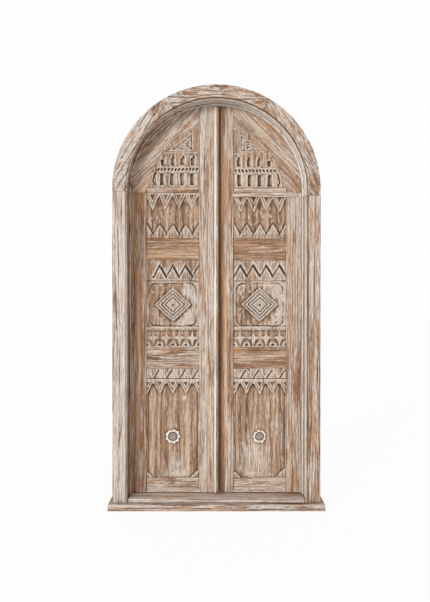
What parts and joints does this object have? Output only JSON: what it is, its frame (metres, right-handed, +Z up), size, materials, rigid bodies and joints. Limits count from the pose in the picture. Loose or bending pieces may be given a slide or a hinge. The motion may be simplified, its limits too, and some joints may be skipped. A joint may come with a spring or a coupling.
{
  "type": "arched double door",
  "caption": "Round-headed teak double door with carved frame-and-panel leaves, hung on butt hinges in a moulded frame with stops, threshold and sill.",
  "frame": {"origin": "middle of the sill's underside", "axes": "+Z up; the carved front, with its recess, faces -Y; the leaves open towards +Y; +X is the viewer's right"},
  "size_m": [1.172, 0.228, 2.299],
  "materials": {
    "frame_teak": "dry, weathered teak with worn limewash",
    "leaf_teak": "dry, weathered teak with worn limewash, browner than the frame",
    "panel_teak": "hand-carved teak with limewash left in the cuts",
    "hinge_iron": "dull dark iron"
  },
  "bodies": {
    "frame": {"arch_crown": "frame_teak", "arch_keys": "frame_teak", "arch_left": "frame_teak", "arch_right": "frame_teak", "hinge_jamb_plates_left": "hinge_iron", "hinge_jamb_plates_right": "hinge_iron", "post_left": "frame_teak", "post_right": "frame_teak", "sill": "frame_teak", "stop_arch_crown": "frame_teak", "stop_arch_left": "frame_teak", "stop_arch_right": "frame_teak", "stop_left": "frame_teak", "stop_right": "frame_teak", "threshold": "frame_teak"},
    "leaf_left": {"arch_board_inner_left": "leaf_teak", "arch_board_middle_left": "leaf_teak", "arch_board_outer_left": "leaf_teak", "bottom_rail_left": "leaf_teak", "frieze_panel_left": "panel_teak", "hinge_leaf_plates_left": "hinge_iron", "lock_rail_left": "leaf_teak", "lower_panel_left": "panel_teak", "lunette_panel_left": "panel_teak", "meeting_bead_left": "leaf_teak", "meeting_stile_left": "leaf_teak", "mid_rail_left": "leaf_teak", "middle_panel_left": "panel_teak", "outer_stile_left": "leaf_teak", "spring_rail_left": "leaf_teak"},
    "leaf_right": {"arch_board_inner_right": "leaf_teak", "arch_board_middle_right": "leaf_teak", "arch_board_outer_right": "leaf_teak", "bottom_rail_right": "leaf_teak", "frieze_panel_right": "panel_teak", "hinge_leaf_plates_right": "hinge_iron", "lock_rail_right": "leaf_teak", "lower_panel_right": "panel_teak", "lunette_panel_right": "panel_teak", "meeting_stile_right": "leaf_teak", "mid_rail_right": "leaf_teak", "middle_panel_right": "panel_teak", "outer_stile_right": "leaf_teak", "spring_batten_right": "leaf_teak", "spring_rail_right": "leaf_teak"}
  },
  "joints": [
    {"name": "leaf_left_swing", "type": "hinge", "parent": "frame", "child": "leaf_left", "pos_m": [-0.4805, 0.0955, 0.8955], "axis": [0, 0, 1], "range_deg": [0, 110]},
    {"name": "leaf_right_swing", "type": "hinge", "parent": "frame", "child": "leaf_right", "pos_m": [0.4805, 0.0955, 0.8955], "axis": [0, 0, -1], "range_deg": [0, 110]}
  ]
}
